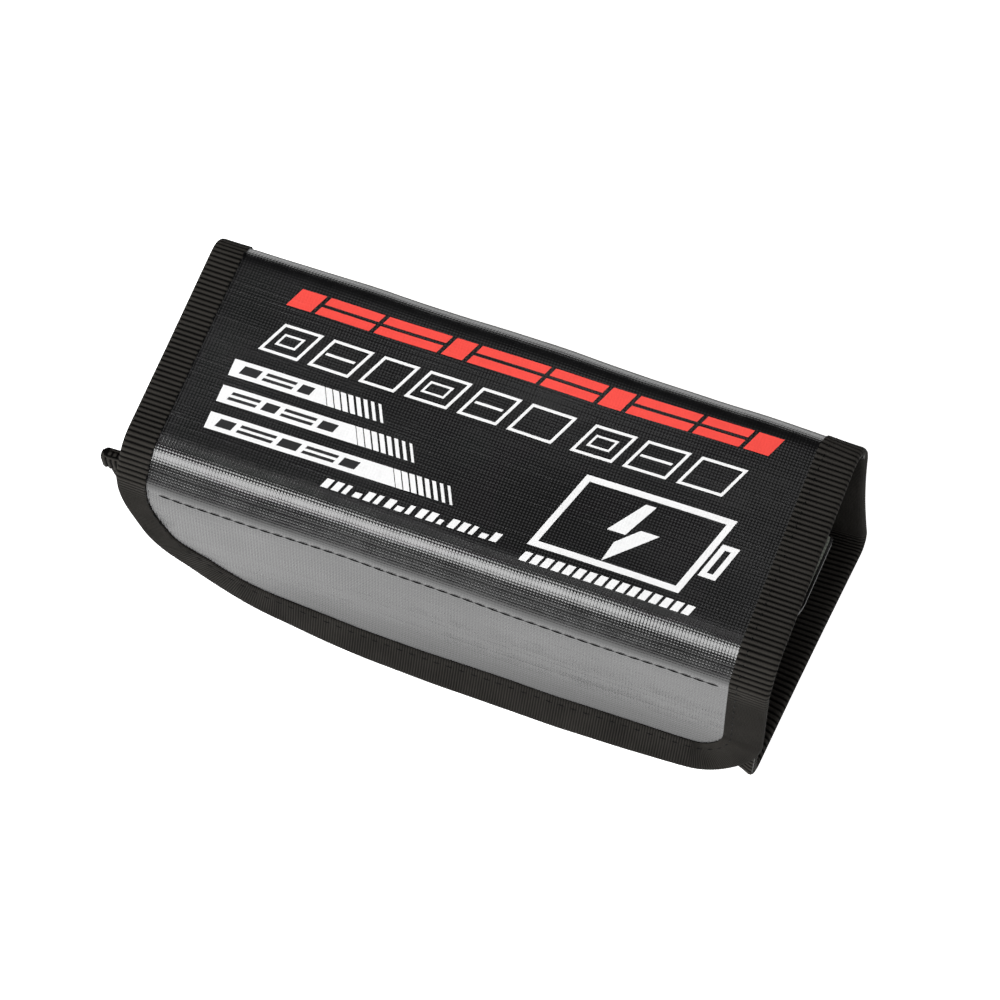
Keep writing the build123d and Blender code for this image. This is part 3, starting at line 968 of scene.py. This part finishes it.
stitch_z = top_z - 12 * mm
loop_top = at_loop_stitches + stitch_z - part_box("loop_strip")[1].z
loop_bottom = at_loop_stitches + stitch_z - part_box("loop_strip")[0].z
s = np.linspace(loop_top, loop_bottom, 64)
x, s = np.meshgrid(np.linspace(-strip_half, strip_half, 260), s)
inset = np.clip((s - (at_hem - 27 * mm)) / (27 * mm), 0, 1)
x = x * (1 - 0.1 * inset**2)
pile = both_thick + 0.62 * mm + 0.3 * mm * pick.random(x.shape)
from_edge = np.minimum.reduce([np.abs(x + strip_half), np.abs(x - strip_half), s - loop_top, loop_bottom - s])
edge_fade = np.clip(from_edge / (1.4 * mm), 0, 1)
pile = both_thick + (pile - both_thick) * (0.35 + 0.65 * edge_fade)
loop_pile, nodes, links, shader = new_finish("loop_pile")
bump_from(nodes, links, cloth_noise(nodes, links, cloth_place(nodes), 1900, 4), 0.3 * mm, shader)
shader["Base Color"].default_value = (0.012, 0.012, 0.0125, 1)
shader["Roughness"].default_value = 0.85
shader["Sheen Weight"].default_value = 0.3
loop_mat = thin_sheet("loop_strip_pile", x, s, both_thick, pile, loop_pile)
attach(loop_mat, "flap")
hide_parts("loop_strip")

# ---------------------------------------------------------------- print on the lid
# Screen-printed red and white ink that fills the weave. The marks are plain blocks, bars, stripes
# and a battery sign, with no lettering.

lid_back_y = back_y - wrap_radii[2]
ink_relief = 0.045 * mm
print_step = 1.5 * mm


def along_lid(y):
    """The place along the cloth of a point at that Y on the lid or the start of its roll."""
    over = np.arcsin(np.clip((y - lid_back_y) / wrap_radii[2], 0, 1))
    return at_lid_back + np.maximum(lid_back_y - y, 0) - wrap_radii[2] * over


def printed_quad(corners):
    """A thin film of ink over a four-cornered patch, given as (x, y) corners in order, in millimetres."""
    a, b, c, d = (np.array(p, float) * mm for p in corners)
    wide = max(np.linalg.norm(b - a), np.linalg.norm(c - d))
    deep = max(np.linalg.norm(d - a), np.linalg.norm(c - b))
    u = np.linspace(0, 1, max(2, int(wide / print_step) + 2))[:, None, None]
    v = np.linspace(0, 1, max(2, int(deep / print_step) + 2))[None, :, None]
    patch = (a * (1 - u) + b * u) * (1 - v) + (d * (1 - u) + c * u) * v
    x, s = patch[..., 0], along_lid(patch[..., 1])
    return between_depths(x, s, -0.055 * mm, 0.05 * mm, wrap)


def slanted(x, y, wide, tall, lean):
    """Corners of a block whose sides lean by lean for each unit of its height."""
    return [(x, y), (x + wide, y), (x + wide + lean * tall, y + tall), (x + lean * tall, y + tall)]


def outlined(corners, stroke):
    """One quad along each side of a convex polygon, inside it."""
    points = [np.array(p, float) for p in corners]
    middle = sum(points) / len(points)
    quads = []
    inner = []
    count = len(points)
    for k in range(count):
        before = points[k] - points[k - 1]
        after = points[(k + 1) % count] - points[k]
        n1 = np.array([-before[1], before[0]]) / np.linalg.norm(before)
        n2 = np.array([-after[1], after[0]]) / np.linalg.norm(after)
        inner.append(points[k] + (n1 + n2) * stroke / (1 + n1 @ n2))
    for k in range(count):
        n = (k + 1) % count
        quads.append([points[k], points[n], inner[n], inner[k]])
    return quads


def tilted(quads, rise, about=0):
    """The same quads, with the row rising a little towards the right."""
    return [[(px, py + rise * (px - about)) for px, py in quad] for quad in quads]


def ink_finish(name, colour):
    """Matt printing ink over the weave, a little worn."""
    finish, nodes, links, shader = new_finish(name)
    height, where = weave(nodes, links, yarn_pitch)
    bump_from(nodes, links, height, ink_relief, shader)
    worn = cloth_noise(nodes, links, where, 420, 4)
    toned(nodes, links, shader, worn, 0.3, tuple(c * 0.95 for c in colour), 0.5, colour)
    shader["Roughness"].default_value = 0.42
    return finish


red_ink = ink_finish("red_ink", (0.95, 0.075, 0.058))
white_ink = ink_finish("white_ink", (0.97, 0.97, 0.97))

red = []
x_at = -67.5
for k, wide in enumerate((7.0, 15.5, 18.0, 6.0, 19.5, 15.0, 6.5, 17.5, 13.0, 7.0)):
    if k % 3 == 0:
        red.append(slanted(x_at, 21.8, wide, 6.0, 0.42))
    else:
        red += [slanted(x_at, 21.8, wide, 2.5, 0.42), slanted(x_at + 1.46, 25.3, wide, 2.5, 0.42)]
    x_at += wide + 1.3
red_row = make_piece("red_print", *join_solids([printed_quad(q) for q in tilted(red, 0.0187)]), red_ink)
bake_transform(red_row)

white = []
row = []
x_at = -69.5
for k, wide in enumerate((11.2, 11.6, 10.2, 12.0, 11.2, 12.6, 11.8, 12.2, 12.8)):
    row += outlined(slanted(x_at, 6.5, wide, 9.6, 0.42), 0.8)
    if k % 3 == 0:
        row += outlined(slanted(x_at + 3.6, 9.3, wide - 5.4, 3.9, 0.42), 0.6)
    if k % 3 == 1:
        row.append(slanted(x_at + 3.4, 10.9, wide - 3.4, 0.75, 0.42))
    x_at += wide + (2.9 if k != 5 else 5.3)
white += tilted(row, 0.0165)

bar_left = -74
bar_rise = 0.026
for x_end, y_top in ((-48.5, 0.4), (-36.5, -8.0), (-22.5, -16.6)):
    tall = 5.2
    base = y_top - tall
    bar = [[(bar_left, base), (x_end + 0.5 * tall, base), (x_end, y_top), (bar_left, y_top)]]
    for k in range(8):
        left_edge = x_end + 0.22 + k * 2.0
        wide = 1.85 - 0.15 * k
        left_edge += 0.15 * k
        bar.append([(left_edge + 0.5 * tall, base), (left_edge + wide + 0.5 * tall, base),
                    (left_edge + wide, y_top), (left_edge, y_top)])
    white += tilted(bar, bar_rise, about=bar_left)

ticks = []
for k in range(17):
    wide = 2.0 - 0.7 * (k % 3 == 2)
    tall = 2.9 - 1.3 * (k % 4 == 3)
    ticks.append(slanted(-38.5 + k * 2.95, -27.2 + 0.012 * k, wide, tall, 0.35))
white += tilted(ticks, 0.016, about=-38)

battery = outlined(slanted(18.5, -23.4, 42, 25.2, 0.3), 1.8)
battery += outlined(slanted(63.4, -16.6, 4.8, 10.8, 0.3), 1.5)
battery += [[(43.8, -1.6), (36.6, -12.0), (41.7, -12.0), (46.7, -1.6)],
            [(38.4, -21.4), (50.4, -9.5), (45.2, -9.5), (39.7, -15.0)]]
for k in range(16):
    battery.append(slanted(18.0 + k * 3.0, -28.6, 2.1, 3.0, 0.35))
white += tilted(battery, 0.012, about=40)
white_marks = make_piece("white_print", *join_solids([printed_quad(q) for q in white]), white_ink)
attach(white_marks, "lid")

# dark chips on the white bars, in black ink
black_ink = ink_finish("black_ink", (0.02, 0.02, 0.021))
chips = []
chip_rows = (
    (0.4, ((-71.5, 5, False), (-65, 8.5, True), (-55, 3.5, False))),
    (-8.0, ((-71.5, 8, True), (-62, 4, False), (-56.5, 9, True), (-46, 4.5, False))),
    (-16.6, ((-71.5, 4.5, False), (-65.5, 10, True), (-54, 5.5, False), (-47, 9, True), (-36.5, 4.5, False))),
)
for y_top, row in chip_rows:
    for x_at, wide, split in row:
        chip = [slanted(x_at, y_top - 3.9, wide, 2.6, 0.35)]
        if split:
            chip = [slanted(x_at, y_top - 3.9, wide, 0.9, 0.35),
                    slanted(x_at + 0.6, y_top - 2.2, wide, 0.9, 0.35)]
        chips += tilted(chip, bar_rise, about=bar_left)
chip_parts = [(p + np.array([0, 0, 0.04 * mm]), f, u) for p, f, u in (printed_quad(q) for q in chips)]
dark_chips = make_piece("dark_print", *join_solids(chip_parts), black_ink)
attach(dark_chips, "lid")

# ---------------------------------------------------------------- cut sizes of the cloths
# The outer cloth is one long piece folded round the bag, and the lining another inside it. Below, the flat
# areas of the flap's cloth and of the front wall and bottom cloth are worked out between their side edges.


def cut_area(left, right, low, high):
    """Flat area of a cloth between its two side edges."""
    s = np.linspace(low, high, 400)
    width = np.broadcast_to(right(s), s.shape) - np.broadcast_to(left(s), s.shape)
    return float(np.sum((width[1:] + width[:-1]) / 2 * np.diff(s)))


flap_area = cut_area(flap_edge(-1, cloth_inset), flap_edge(1, cloth_inset), at_lid_middle,
                     at_hem - cloth_inset)
lower_area = cut_area(front_edge(-1, cloth_inset), front_edge(1, cloth_inset), at_rim + rim_inset,
                      at_back_foot)
